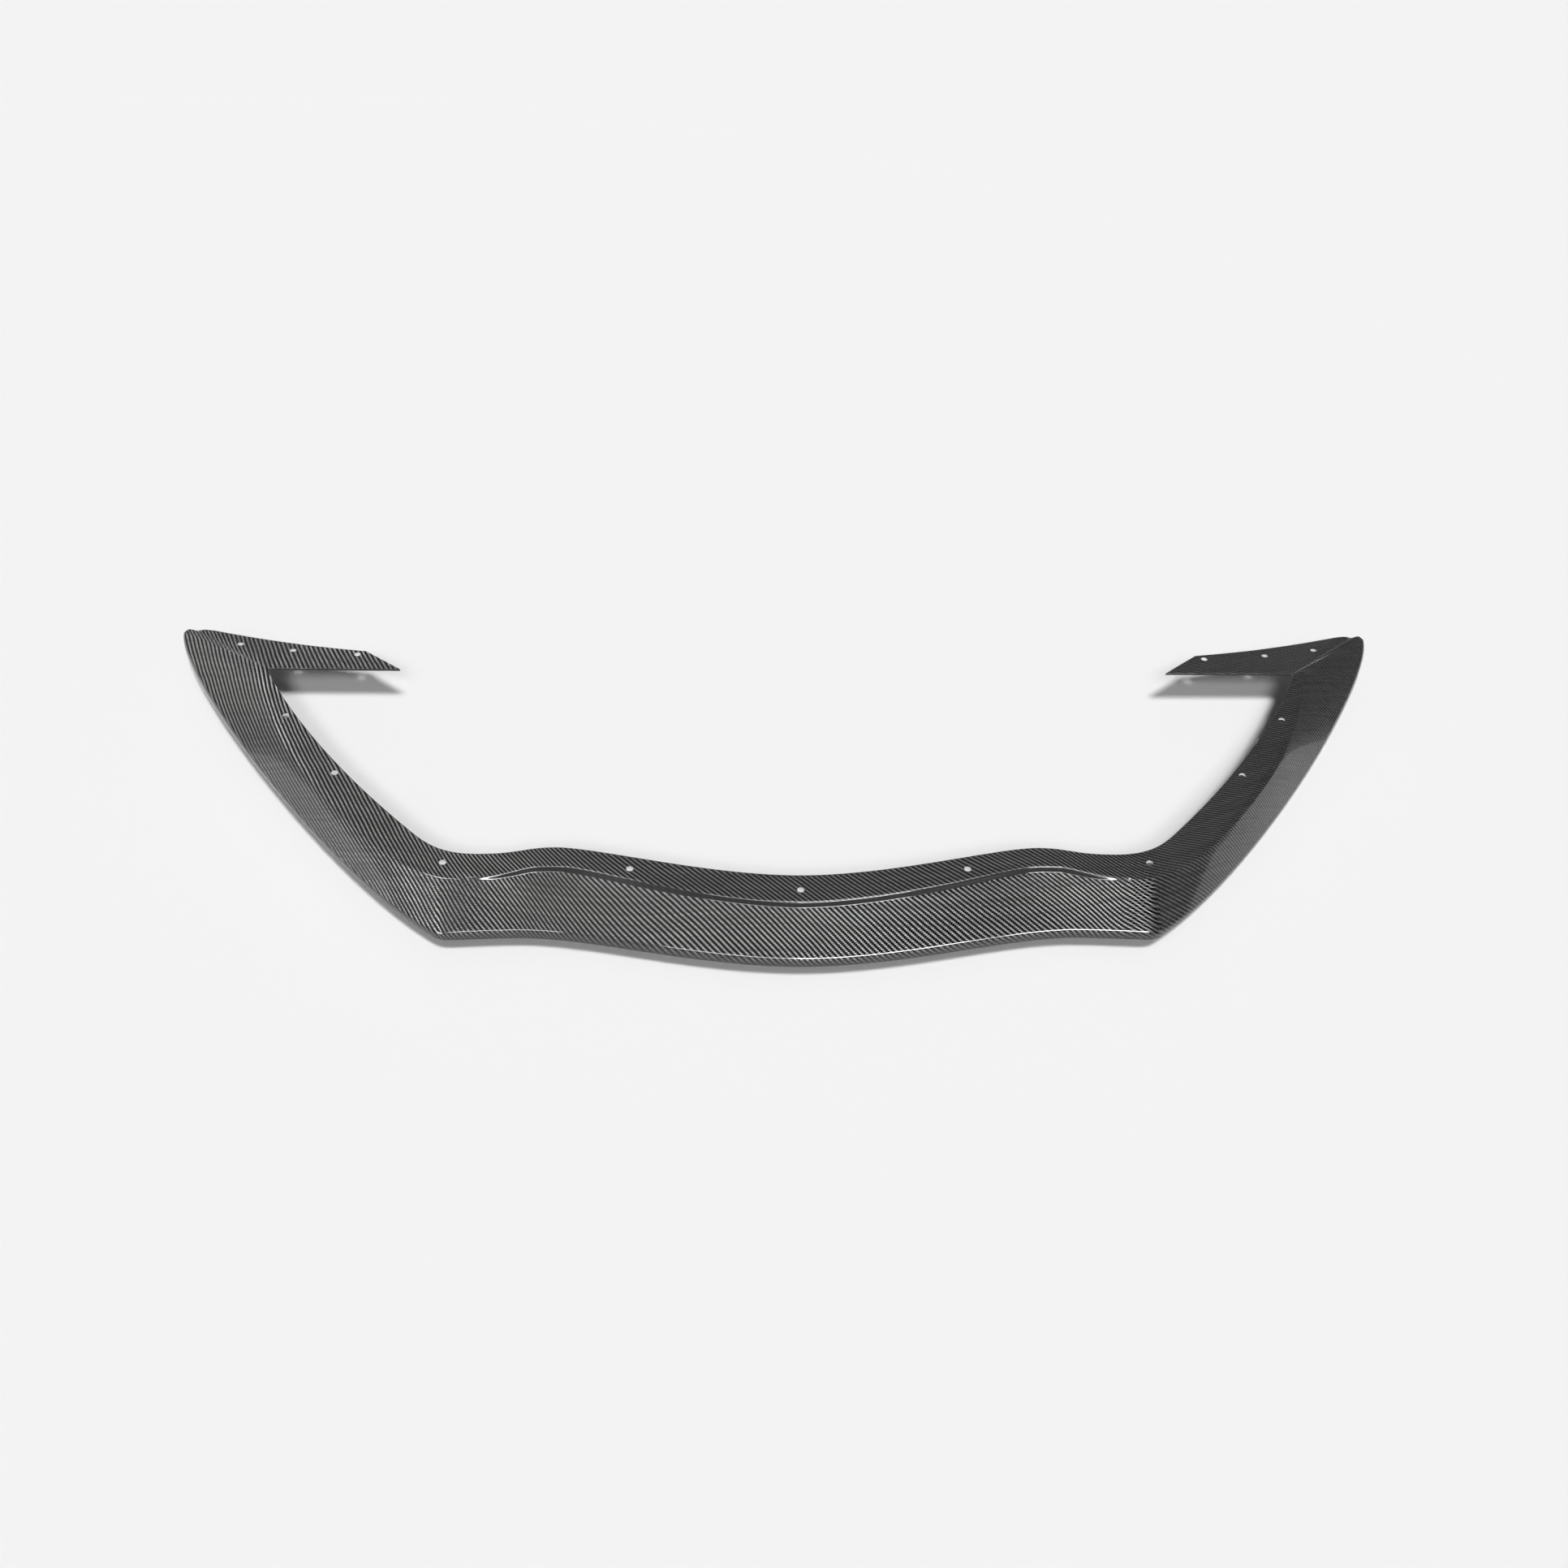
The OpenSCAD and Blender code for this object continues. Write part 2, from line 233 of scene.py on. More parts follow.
# %% Build one rib
def profile(s, width, step_parts, blade_parts, roll_parts, flange_at):
    """Upper points as rows of distance, height and resin mask."""
    fw, h, foot = smooth(FLANGE, s), step_height(s), foot_height(s)
    hooked = eased(s, ARM_END, RIM_GONE)
    tilt = hooked * (FLANGE_Z - foot) / width
    run = NOSE_STEP_RUN + (ARM_STEP_RUN - NOSE_STEP_RUN) * eased(s, AT_DIP, AT_ARM)
    flange = [(fw * t, FLANGE_Z - tilt * fw * t, 0) for t in flange_at]
    wall = min(h / 4, 1) * (1 - eased(s, AT_DIP, PAST_CORNER))
    step = [(fw + t * run, FLANGE_Z - tilt * (fw + t * run) - h * t * t * (3 - 2 * t),
             wall * min(1, 5 * t) * min(1, 5 * (1 - t))) for t in np.linspace(0, 1, step_parts + 1)]
    start = np.array(step[-1][:2])
    bulge, lost = CROWN * (1 - hooked), rim_lost(s)
    fall = start[1] - foot - (rim_height(s) + EDGE_R) * (1 - lost)
    down = math.degrees(math.atan2(fall + 4 * bulge, width - start[0]))
    end_dir = 90 + (down - 90) * lost
    bit = EDGE_R * math.radians(90 - down) / roll_parts
    turns = [down + (end_dir - down) * (k + 0.5) / roll_parts for k in range(roll_parts)]
    roll = [np.array([width, foot]) - rim_height(s) * unit(-end_dir)]
    for a in reversed(turns):
        roll.insert(0, roll[0] - bit * unit(-a))
    blade = [start + (roll[0] - start) * t + np.array([0, 4 * bulge * t * (1 - t)])
             for t in np.linspace(0, 1, blade_parts + 1)[1:-1]]
    rows = flange + step + [(*p, 0) for p in blade]
    smooth_edge = (1 - lost) * (0.2 + 0.8 * eased(s, PAST_CORNER, AT_ARM))
    rows += [(*p, min(1, 3 * k / roll_parts) * smooth_edge) for k, p in enumerate(roll)]
    return np.array(rows + [(width, foot, smooth_edge)])


def lower(p):
    """The same line one laminate thickness below, square to it."""
    d = np.diff(p, axis=0)
    d /= np.linalg.norm(d, axis=1)[:, None]
    before, after = np.vstack([d[:1], d]), np.vstack([d, d[-1:]])
    mid = before + after
    mid /= np.linalg.norm(mid, axis=1)[:, None]
    square = np.column_stack([-mid[:, 1], mid[:, 0]])
    return p - square * (THICK / (mid * before).sum(1))[:, None]


def rounded(before, at, after, r=0.45, parts=3):
    """A few points that round off the corner at `at`."""
    a = at + (before - at) / np.linalg.norm(before - at) * r
    b = at + (after - at) / np.linalg.norm(after - at) * r
    return [(1 - t) ** 2 * a + 2 * t * (1 - t) * at + t * t * b for t in np.linspace(0, 1, parts + 1)]


def ring(s, width):
    """A closed rib: distance, height, distance along the cloth, resin mask."""
    top = profile(s, width, 9, 14, 10, (0, 0.04, 0.35, 0.7, 0.97))
    under = lower(profile(s, width, 3, 5, 4, (0,))[:, :2])
    p, mask = top[:, :2], top[:, 2]
    along = np.concatenate([[0], np.cumsum(np.linalg.norm(np.diff(p, axis=0), axis=1))])
    returning = np.linalg.norm(np.diff(under[::-1], axis=0), axis=1)
    back = along[-1] - np.concatenate([[0], np.cumsum(returning)])
    rows = [(*q, 0, 1) for q in rounded(under[0], p[0], p[1])]
    rows += [(*q, a, m) for q, a, m in zip(p[1:-1], along[1:-1], mask[1:-1])]
    rows += [(*q, along[-1], 1) for q in rounded(p[-2], p[-1], under[-1])]
    rows += [(*q, along[-1], 1) for q in rounded(p[-1], under[-1], under[-2])]
    rows += [(*q, a, 0) for q, a in zip(under[::-1][1:-1], back[1:-1])]
    rows += [(*q, 0, 1) for q in rounded(under[1], under[0], p[0])]
    return np.array(rows)


print("Points in one rib:", len(ring(0, 112)))

# %% [markdown]
# ## A map for the cloth
#
# A weave has to follow the sheet, so each point gets a place on the flat cloth before it was pressed
# into the mould. The map is rolled out along the inner line, rib by rib. Where the lip turns into an
# arm the cloth is pulled round with it, but only by about half of the arm's own turn, and it is
# stretched a little on the way. Laid by hand, the two halves never come out alike. The DRAPE rows
# give this for each half: a place along the lip, the turn of the cloth along the edge line and along
# the ribs in degrees, and the stretch. One unit of the map is one tow, the flat bundle of fibres
# that the cloth is woven from, and here a tow is a little under 2 mm wide.

# %% Place the ribs and map the cloth
TOW = 1.95
SPACING, FEWEST_PARTS = 4.6, 6
DRAPE = {
    1: [(0, -2, -5.8, 1.075), (0.5, 6.8, 0.6, 0.958), (1, 1.8, 3, 1.024), (1.5, -6.2, -0.4, 1.164),
        (2, 0.1, -1.6, 1.289), (3, 0.6, 9.5, 1.165), (4, 15.4, 19.7, 1.08), (5, 23.5, 34.1, 1.175),
        (6, 26.8, 30, 1.117), (7, 28.4, 29.5, 1.091), (8.5, 29, 29.3, 1.075), (12, 29, 29.3, 1.068)],
    -1: [(0, 2, 5.8, 1.075), (0.5, -1.4, 6.2, 1.107), (1, 6.1, 11, 1.225), (1.5, 10.7, 11.2, 1.2),
         (2, 12.6, 13.2, 1.184), (3, 19.4, 15.8, 1.203), (4, 27.7, 13.6, 1.108), (5, 22.7, 18.1, 1.075),
         (6, 21, 33.9, 1.075), (7, 33.2, 32.8, 1.026), (8.5, 33, 34.9, 0.908), (12, 29.3, 24.8, 0.9)],
}


def rib_numbers():
    """Rib numbers so close together that a step is about SPACING at most on both lines."""
    numbers = []
    for k in range(AT_TIP):
        spots = [paired(k + t) for t in np.linspace(0, 1, 9)]
        lengths = []
        for side, line in ((0, inner_line), (1, outer_line)):
            on_line = [place(line, spot[side]) for spot in spots]
            lengths.append(sum(np.linalg.norm(q - p) for p, q in zip(on_line, on_line[1:])))
        parts = max(math.ceil(max(lengths) / SPACING), FEWEST_PARTS)
        numbers += [k + j / parts for j in range(parts)]
    return numbers + [AT_TIP]


def turned(v, angle):
    """A flat vector turned by an angle in degrees."""
    c, s = math.cos(math.radians(angle)), math.sin(math.radians(angle))
    return np.array([c * v[0] - s * v[1], s * v[0] + c * v[1]])


def half_lip(side):
    """Ribs of one half, side 1 for the right and -1 for the left: points, cloth map and mask."""
    points, cloth, masks = [], [], []
    line_turn, rib_turn, stretch = ([(row[0], row[k]) for row in DRAPE[side]] for k in (1, 2, 3))
    flip = np.array([side, 1])
    last, on_cloth = inner_nose * flip, inner_nose.copy()
    for s in rib_numbers():
        t_in, t_out = paired(s)
        a, b = place(inner_line, t_in) * flip, place(outer_line, t_out) * flip
        width = np.linalg.norm(b - a)
        way = (b - a) / width
        scale = smooth(stretch, s)
        on_cloth = on_cloth + turned(a - last, -side * smooth(line_turn, s)) * scale
        last = a
        r = ring(s, width)
        points.append(np.column_stack([a + way * r[:, :1], r[:, 1]]))
        cloth.append((on_cloth + turned(way, -side * smooth(rib_turn, s)) * r[:, 2:3] * scale) / TOW)
        masks.append(r[:, 3])
    return points, cloth, masks


right, left = half_lip(1), half_lip(-1)
ribs, cloth_map, resin = [left[i][:0:-1] + right[i] for i in range(3)]
print("Ribs:", len(ribs), " tows along the inner edge:", round(abs(cloth_map[0][0][0] - cloth_map[-1][0][0])))

# %% [markdown]
# ## The mesh
#
# Neighbouring ribs are joined by four-sided faces, and the two hook tips are closed with one face
# each. The points are kept inside the box of the CAD model, so that the picture and the solid agree
# to a fraction of a millimetre. The cloth map and the resin mask go into two UV maps, because a UV
# map is how a mesh carries a flat place for each of its corners to the shader.

# %% Join the ribs into a mesh
PER_METRE = 1000
ring_n = len(ribs[0])
verts = np.vstack(ribs)
verts[:, 1] += cad_box[0].y * PER_METRE
verts = np.clip(verts / PER_METRE, np.array(cad_box[0]), np.array(cad_box[1]))
faces = [(a, a + ring_n, b + ring_n, b)
         for k in range(len(ribs) - 1) for j in range(ring_n)
         for a, b in [(k * ring_n + j, k * ring_n + (j + 1) % ring_n)]]
last_ring = (len(ribs) - 1) * ring_n
faces += [tuple(range(ring_n)), tuple(last_ring + j for j in reversed(range(ring_n)))]

mesh = bpy.data.meshes.new("lip_laminate")
mesh.from_pydata(verts.tolist(), [], faces)
flat_cloth, flat_resin = np.vstack(cloth_map), np.concatenate(resin)
corner_vert = np.array([loop.vertex_index for loop in mesh.loops])
mesh.uv_layers.new(name="cloth").data.foreach_set("uv", flat_cloth[corner_vert].astype(np.float32).ravel())
mask_uv = np.column_stack([flat_resin, np.zeros(len(flat_resin))])[corner_vert]
mesh.uv_layers.new(name="resin").data.foreach_set("uv", mask_uv.astype(np.float32).ravel())
lip = bpy.data.objects.new("lip_laminate", mesh)
bpy.context.scene.collection.objects.link(lip)
mesh.validate()
print("Faces before drilling:", len(mesh.polygons))

# %% [markdown]
# ## The fastener holes
#
# Fifteen plain holes take the screws and clips that hold the lip to the bumper. They are drilled with
# a Boolean modifier, which cuts one mesh with another. The drills carry the material of the raw, cut
# laminate, and pass it on to the walls of the holes. The list has the middle hole and those of the
# right half, in millimetres; the left half mirrors them.

# %% Drill the holes
HOLE_R = 4.5
DRILL_FROM, DRILL_TO = -2, 55
SHARP_FROM = 38
HOLES = [(0, -248.948), (211.634, -210.087), (443.919, -198.464), (595.048, -25.299), (671.437, 93.065),
         (756.56, 274.11), (681.532, 254.008), (591.254, 238.247)]


def drill_mesh(sides=48):
    """All drills in one mesh: an upright post at each hole."""
    spots = HOLES + [(-x, y) for x, y in HOLES if x]
    angles = [2 * math.pi * k / sides for k in range(sides)]
    circle = [(math.cos(angle) * HOLE_R, math.sin(angle) * HOLE_R) for angle in angles]
    points, quads = [], []
    for x, y in spots:
        n = len(points)
        for z in (DRILL_FROM, DRILL_TO):
            points += [((x + cx) / PER_METRE, (y + cy) / PER_METRE, z / PER_METRE) for cx, cy in circle]
        for k in range(sides):
            after = (k + 1) % sides
            quads.append((n + k, n + after, n + sides + after, n + sides + k))
        quads += [tuple(n + k for k in reversed(range(sides))), tuple(n + sides + k for k in range(sides))]
    drills = bpy.data.meshes.new("drills")
    drills.from_pydata(points, [], quads)
    return drills


weave_finish = bpy.data.materials.new("carbon_twill")
cut_finish = bpy.data.materials.new("cut_laminate")
mesh.materials.append(weave_finish)
drills = bpy.data.objects.new("drills", drill_mesh())
drills.data.materials.append(cut_finish)
bpy.context.scene.collection.objects.link(drills)
mesh.materials.append(cut_finish)
cut = lip.modifiers.new("holes", "BOOLEAN")
cut.operation, cut.object, cut.solver = "DIFFERENCE", drills, "EXACT"
cut.material_mode = "TRANSFER"
drilled = bpy.data.meshes.new_from_object(lip.evaluated_get(bpy.context.evaluated_depsgraph_get()))
lip.modifiers.clear()
lip.data = drilled
bpy.data.objects.remove(drills)
drilled.name = "lip_laminate"
drilled.shade_smooth()
drilled.set_sharp_from_angle(angle=math.radians(SHARP_FROM))
print("Faces after drilling:", len(drilled.polygons), " materials:", [m.name for m in drilled.materials])

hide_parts("splitter_lip")
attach(lip, "root")

# %% [markdown]
# ## The weave, as a shader group
#
# In a 2x2 twill each tow passes over two others and under the next two, and each row starts one tow
# further along, which draws the diagonal lines everyone knows carbon fibre by. The group below works
# that out from the cloth map alone: which tow is on top, how far across it and along it a point
# lies, and from that its colour and the way it faces. The tows are round bundles, so a point left of
# a tow's middle leans left. That lean, together with a painted highlight in the weft's light tone
# against the warp's dark one, makes the tows glint in turn. A slow noise pushes the map about a
# little first, since no cloth lies perfectly straight.

# %% Helpers for shader groups
def new_group(name, inputs, outputs):
    """A shader node group with named sockets. Inputs are (name, kind, value) and outputs (name, kind)."""
    group = bpy.data.node_groups.new(name, "ShaderNodeTree")
    for label, kind, value in inputs:
        socket = group.interface.new_socket(label, in_out="INPUT", socket_type=kind)
        if value is not None:
            socket.default_value = value
    for label, kind in outputs:
        group.interface.new_socket(label, in_out="OUTPUT", socket_type=kind)
    return group, group.nodes.new("NodeGroupInput"), group.nodes.new("NodeGroupOutput")


def calc(tree, operation, *values, clamp=False):
    """One Math node. Values are numbers or sockets."""
    node = tree.nodes.new("ShaderNodeMath")
    node.operation, node.use_clamp = operation, clamp
    for socket, value in zip(node.inputs, values):
        if isinstance(value, bpy.types.NodeSocket):
            tree.links.new(value, socket)
        else:
            socket.default_value = value
    return node.outputs[0]


def choose(tree, factor, a, b):
    """a where the factor is 0, b where it is 1."""
    node = tree.nodes.new("ShaderNodeMix")
    node.data_type = "FLOAT"
    for socket, value in zip((node.inputs[0], node.inputs[2], node.inputs[3]), (factor, a, b)):
        if isinstance(value, bpy.types.NodeSocket):
            tree.links.new(value, socket)
        else:
            socket.default_value = value
    return node.outputs[0]


# %% The twill group
FLOAT, COLOUR, VECTOR = "NodeSocketFloat", "NodeSocketColor", "NodeSocketVector"
twill, given, result = new_group(
    "Twill weave",
    [("Cloth", VECTOR, None), ("Roundness", FLOAT, 0.5), ("Dive", FLOAT, 0.3),
     ("Warp painted shade", FLOAT, 0.2), ("Weft painted highlight", FLOAT, 0.1), ("Gap and painted shade", FLOAT, 0.02),
     ("Tow variation", FLOAT, 0.2), ("Waviness", FLOAT, 0.2),
     ("Resin cover", FLOAT, 0.0), ("Resin tone", FLOAT, 0.05)],
    [("Tone", COLOUR), ("Facing", COLOUR), ("Fibre", FLOAT)])
socket = given.outputs

WAVES_PER_TOW, WAVE_REACH = 0.035, 4.0
wave = twill.nodes.new("ShaderNodeTexNoise")
wave.noise_dimensions = "2D"
wave.inputs["Scale"].default_value = WAVES_PER_TOW
wave.inputs["Detail"].default_value = 1.0
twill.links.new(socket["Cloth"], wave.inputs["Vector"])
centred = twill.nodes.new("ShaderNodeVectorMath")
centred.operation = "SUBTRACT"
twill.links.new(wave.outputs["Color"], centred.inputs[0])
centred.inputs[1].default_value = (0.5, 0.5, 0.5)
pushed = twill.nodes.new("ShaderNodeVectorMath")
pushed.operation = "MULTIPLY_ADD"
spread = calc(twill, "MULTIPLY", socket["Waviness"], WAVE_REACH)
as_vector = twill.nodes.new("ShaderNodeCombineXYZ")
for i in range(2):
    twill.links.new(spread, as_vector.inputs[i])
twill.links.new(centred.outputs[0], pushed.inputs[0])
twill.links.new(as_vector.outputs[0], pushed.inputs[1])
twill.links.new(socket["Cloth"], pushed.inputs[2])
split = twill.nodes.new("ShaderNodeSeparateXYZ")
twill.links.new(pushed.outputs[0], split.inputs[0])
u, v = split.outputs[0], split.outputs[1]
print("Map with a gentle wave:", len(twill.nodes), "nodes")

# %% [markdown]
# ## Which tow is on top
#
# The whole parts of the two map values number the warp tow and the weft tow at a point. Their sum,
# counted in fours, says which of the two is on top: two steps of warp, then two of weft. The rest
# measures where the point lies on the tow that shows, from -1 at one side to 1 at the other, and the
# same along the stretch from where it comes up to where it goes down.

# %% Place on the upper tow
col, row = calc(twill, "FLOOR", u), calc(twill, "FLOOR", v)
turn_in_four = calc(twill, "FLOORED_MODULO", calc(twill, "ADD", col, row), 4.0)
warp_up = calc(twill, "LESS_THAN", turn_in_four, 2.0)
warp_across = calc(twill, "MULTIPLY_ADD", calc(twill, "SUBTRACT", u, col), 2.0, -1.0)
weft_across = calc(twill, "MULTIPLY_ADD", calc(twill, "SUBTRACT", v, row), 2.0, -1.0)
warp_along = calc(twill, "SUBTRACT", calc(twill, "FLOORED_MODULO", calc(twill, "ADD", v, col), 4.0), 1.0)
weft_along = calc(twill, "SUBTRACT", calc(twill, "FLOORED_MODULO", calc(twill, "ADD", u, row), 4.0), 3.0)
across = choose(twill, warp_up, weft_across, warp_across)
along = choose(twill, warp_up, weft_along, warp_along)
print("With the upper tow:", len(twill.nodes), "nodes")

# %% [markdown]
# ## The lean of the tows
#
# Across a tow the surface leans outwards like the side of a log, and where a tow dives under its
# neighbour it nods down at its end. The two slopes make a direction in the cloth's own frame, packed
# into a colour the way a normal map stores it. The normal comes from sums and not from a Bump node,
# because a tow is hardly wider than a pixel and a bump is measured between neighbouring pixels.

# %% The way each point faces
DIVE_POWER = 3.0
lean = calc(twill, "MULTIPLY", across, socket["Roundness"])
sinking = calc(twill, "POWER", calc(twill, "ABSOLUTE", along), DIVE_POWER)
nod = calc(twill, "MULTIPLY", sinking, socket["Dive"])
nod = calc(twill, "MULTIPLY", nod, calc(twill, "SIGN", along))
under_resin = calc(twill, "SUBTRACT", 1.0, socket["Resin cover"], clamp=True)
lean_u = calc(twill, "MULTIPLY", choose(twill, warp_up, nod, lean), under_resin)
lean_v = calc(twill, "MULTIPLY", choose(twill, warp_up, lean, nod), under_resin)
facing = twill.nodes.new("ShaderNodeCombineXYZ")
twill.links.new(lean_u, facing.inputs[0])
twill.links.new(lean_v, facing.inputs[1])
facing.inputs[2].default_value = 1.0
unit_facing = twill.nodes.new("ShaderNodeVectorMath")
unit_facing.operation = "NORMALIZE"
twill.links.new(facing.outputs[0], unit_facing.inputs[0])
packed = twill.nodes.new("ShaderNodeVectorMath")
packed.operation = "MULTIPLY_ADD"
packed.inputs[1].default_value = packed.inputs[2].default_value = (0.5, 0.5, 0.5)
twill.links.new(unit_facing.outputs[0], packed.inputs[0])
twill.links.new(packed.outputs[0], result.inputs["Facing"])
print("With the lean:", len(twill.nodes), "nodes")

# %% [markdown]
# ## The tones of the tows
#
# The weft gets a light tone and the warp a dark one. This is a painted highlight on the weft and
# painted shade on the warp, standing for the way one set of fibres catches the light while the other
# doesn't. Each tow also gets a chance value and fine streaks along it, because no two bundles shine
# quite alike. Towards its sides and its ends a tow sinks into resin, which is nearly black. This
# darkening is partly that resin and partly painted shade that keeps each glint to the middle of the
# tow. The Fibre output tells the finish how much bare fibre shows.

# %% The colour of each tow
RUNS_PER_TOW, STREAKS_ACROSS, STREAKS_ALONG = 0.02, 9.0, 0.6
SIDE_POWER, END_POWER = 6.0, 1.6
tow_id = twill.nodes.new("ShaderNodeCombineXYZ")
twill.links.new(choose(twill, warp_up, row, col), tow_id.inputs[0])
twill.links.new(warp_up, tow_id.inputs[1])
down_the_tow, over_the_tow = choose(twill, warp_up, u, v), choose(twill, warp_up, v, u)
run = calc(twill, "FLOOR", calc(twill, "MULTIPLY", down_the_tow, RUNS_PER_TOW))
twill.links.new(run, tow_id.inputs[2])
chance = twill.nodes.new("ShaderNodeTexWhiteNoise")
chance.noise_dimensions = "3D"
twill.links.new(tow_id.outputs[0], chance.inputs["Vector"])
streaks = twill.nodes.new("ShaderNodeTexNoise")
streaks.noise_dimensions = "2D"
streaks.inputs["Scale"].default_value = 1.0
streaks.inputs["Detail"].default_value = 2.0
stretched = twill.nodes.new("ShaderNodeCombineXYZ")
twill.links.new(calc(twill, "MULTIPLY", over_the_tow, STREAKS_ACROSS), stretched.inputs[0])
twill.links.new(calc(twill, "MULTIPLY", down_the_tow, STREAKS_ALONG), stretched.inputs[1])
twill.links.new(stretched.outputs[0], streaks.inputs["Vector"])

# The weft's light tone is a painted highlight and the warp's near-black tone is painted shade.
tone = choose(twill, warp_up, socket["Weft painted highlight"], socket["Warp painted shade"])
vary = calc(twill, "MULTIPLY", calc(twill, "SUBTRACT", chance.outputs["Value"], 0.5), socket["Tow variation"])
streak = calc(twill, "MULTIPLY", calc(twill, "SUBTRACT", streaks.outputs[0], 0.5), socket["Tow variation"])
tone = calc(twill, "MULTIPLY", tone, calc(twill, "ADD", 1.0, calc(twill, "ADD", vary, streak)))
# Darker towards the sides and the ends of each tow: partly the resin between the tows, partly painted shade
# that keeps each glint to the middle of the tow.
side_gap_and_shade = calc(twill, "POWER", calc(twill, "ABSOLUTE", across), SIDE_POWER)
end_gap_and_shade = calc(twill, "POWER", calc(twill, "ABSOLUTE", along), END_POWER)
resin_gap_and_shade = calc(twill, "MAXIMUM", side_gap_and_shade, end_gap_and_shade)
tone = choose(twill, resin_gap_and_shade, tone, socket["Gap and painted shade"])
tone = choose(twill, socket["Resin cover"], tone, socket["Resin tone"])
grey = twill.nodes.new("ShaderNodeCombineColor")
for i in range(3):
    twill.links.new(tone, grey.inputs[i])
twill.links.new(grey.outputs[0], result.inputs["Tone"])
bare = calc(twill, "MULTIPLY", calc(twill, "SUBTRACT", 1.0, resin_gap_and_shade), under_resin)
twill.links.new(bare, result.inputs["Fibre"])
print("Twill group nodes:", len(twill.nodes))

# %% [markdown]
# ## The carbon finish
#
# Under the lacquer, bare carbon fibre is closer to a dark metal than to a paint: its colour is nearly
# black and its shine is strong but blurred. So the base is a dark, mostly metallic surface with the
# leaning normals, and the lacquer is the shader's own clear coat, which keeps the smooth normal of
# the mesh and mirrors the studio sharply on top. The dark tint holds back the base's own pale
# reflection, because fibres that lie in resin hardly have a surface to mirror with.

# %% Carbon twill material
def start_material(material):
    """Empties the material and gives it one Principled shader."""
    material.use_nodes = True
    tree = material.node_tree
    tree.nodes.clear()
    shader, out = tree.nodes.new("ShaderNodeBsdfPrincipled"), tree.nodes.new("ShaderNodeOutputMaterial")
    tree.links.new(shader.outputs[0], out.inputs["Surface"])
    return tree, shader


def set_inputs(node, values):
    """Sets the plain numbers and colours of a node by the names of its sockets."""
    for label, value in values.items():
        node.inputs[label].default_value = value


def uv_input(tree, name):
    """The value of a UV map at each point."""
    node = tree.nodes.new("ShaderNodeUVMap")
    node.uv_map = name
    return node.outputs[0]


tree, carbon = start_material(weave_finish)
weave = tree.nodes.new("ShaderNodeGroup")
weave.node_tree = twill
tree.links.new(uv_input(tree, "cloth"), weave.inputs["Cloth"])
mask = tree.nodes.new("ShaderNodeSeparateXYZ")
tree.links.new(uv_input(tree, "resin"), mask.inputs[0])
tree.links.new(mask.outputs[0], weave.inputs["Resin cover"])
# The weft's light tone is a painted highlight, the warp's near-black tone is painted shade, and the gap tone
# is partly painted shade.
set_inputs(weave, {
    "Roundness": 0.8, "Dive": 0.35, "Warp painted shade": 0.006, "Weft painted highlight": 0.21, "Gap and painted shade": 0.003,
    "Tow variation": 0.5, "Waviness": 0.25, "Resin tone": 0.02,
})
lean_map = tree.nodes.new("ShaderNodeNormalMap")
lean_map.space, lean_map.uv_map = "TANGENT", "cloth"
tree.links.new(weave.outputs["Facing"], lean_map.inputs["Color"])
tree.links.new(weave.outputs["Tone"], carbon.inputs["Base Color"])
tree.links.new(lean_map.outputs[0], carbon.inputs["Normal"])
METAL_SHARE = 0.9
tree.links.new(calc(tree, "MULTIPLY", weave.outputs["Fibre"], METAL_SHARE), carbon.inputs["Metallic"])
set_inputs(carbon, {
    "Roughness": 0.34, "Coat Weight": 1.0, "Coat Roughness": 0.05, "Coat IOR": 1.5,
    "Specular Tint": (0.3, 0.3, 0.3, 1),
})
print("Carbon material nodes:", len(tree.nodes))

# %% [markdown]
# ## The drilled walls
#
# Where the laminate is cut, the lacquer is gone and the ends of the fibres scatter the light, so a
# fresh hole has a pale grey wall with fine layers in it. In the photograph this shows as a thin
# bright arc on the far side of every hole. Horizontal layers are drawn with a noise that changes
# quickly with height and slowly around the hole.

# %% Cut laminate material
tree, raw = start_material(cut_finish)
where = tree.nodes.new("ShaderNodeTexCoord")
squeeze = tree.nodes.new("ShaderNodeVectorMath")
squeeze.operation = "MULTIPLY"
ROUND_THE_HOLE, DOWN_THE_HOLE = 180.0, 2600.0
squeeze.inputs[1].default_value = (ROUND_THE_HOLE, ROUND_THE_HOLE, DOWN_THE_HOLE)
tree.links.new(where.outputs["Object"], squeeze.inputs[0])
layers = tree.nodes.new("ShaderNodeTexNoise")
layers.inputs["Scale"].default_value = 1.0
tree.links.new(squeeze.outputs[0], layers.inputs["Vector"])
shades = tree.nodes.new("ShaderNodeValToRGB")
for stop, (position, colour) in zip(shades.color_ramp.elements,
                                    ((0.35, (0.42, 0.42, 0.43, 1)), (0.65, (0.85, 0.85, 0.85, 1)))):
    stop.position, stop.color = position, colour
tree.links.new(layers.outputs[0], shades.inputs[0])
tree.links.new(shades.outputs[0], raw.inputs["Base Color"])
raw.inputs["Roughness"].default_value = 0.6
print("Cut laminate nodes:", len(tree.nodes))

# %% [markdown]
# ## Floor
#
# The photograph has an even pale grey ground with a soft shadow close to the part. A very large plane
# with a plain pale colour does the same. It lies 34 mm under the lip, as if the part stood on a low
# stand, because a shadow only shows beside an edge that is held off the ground.

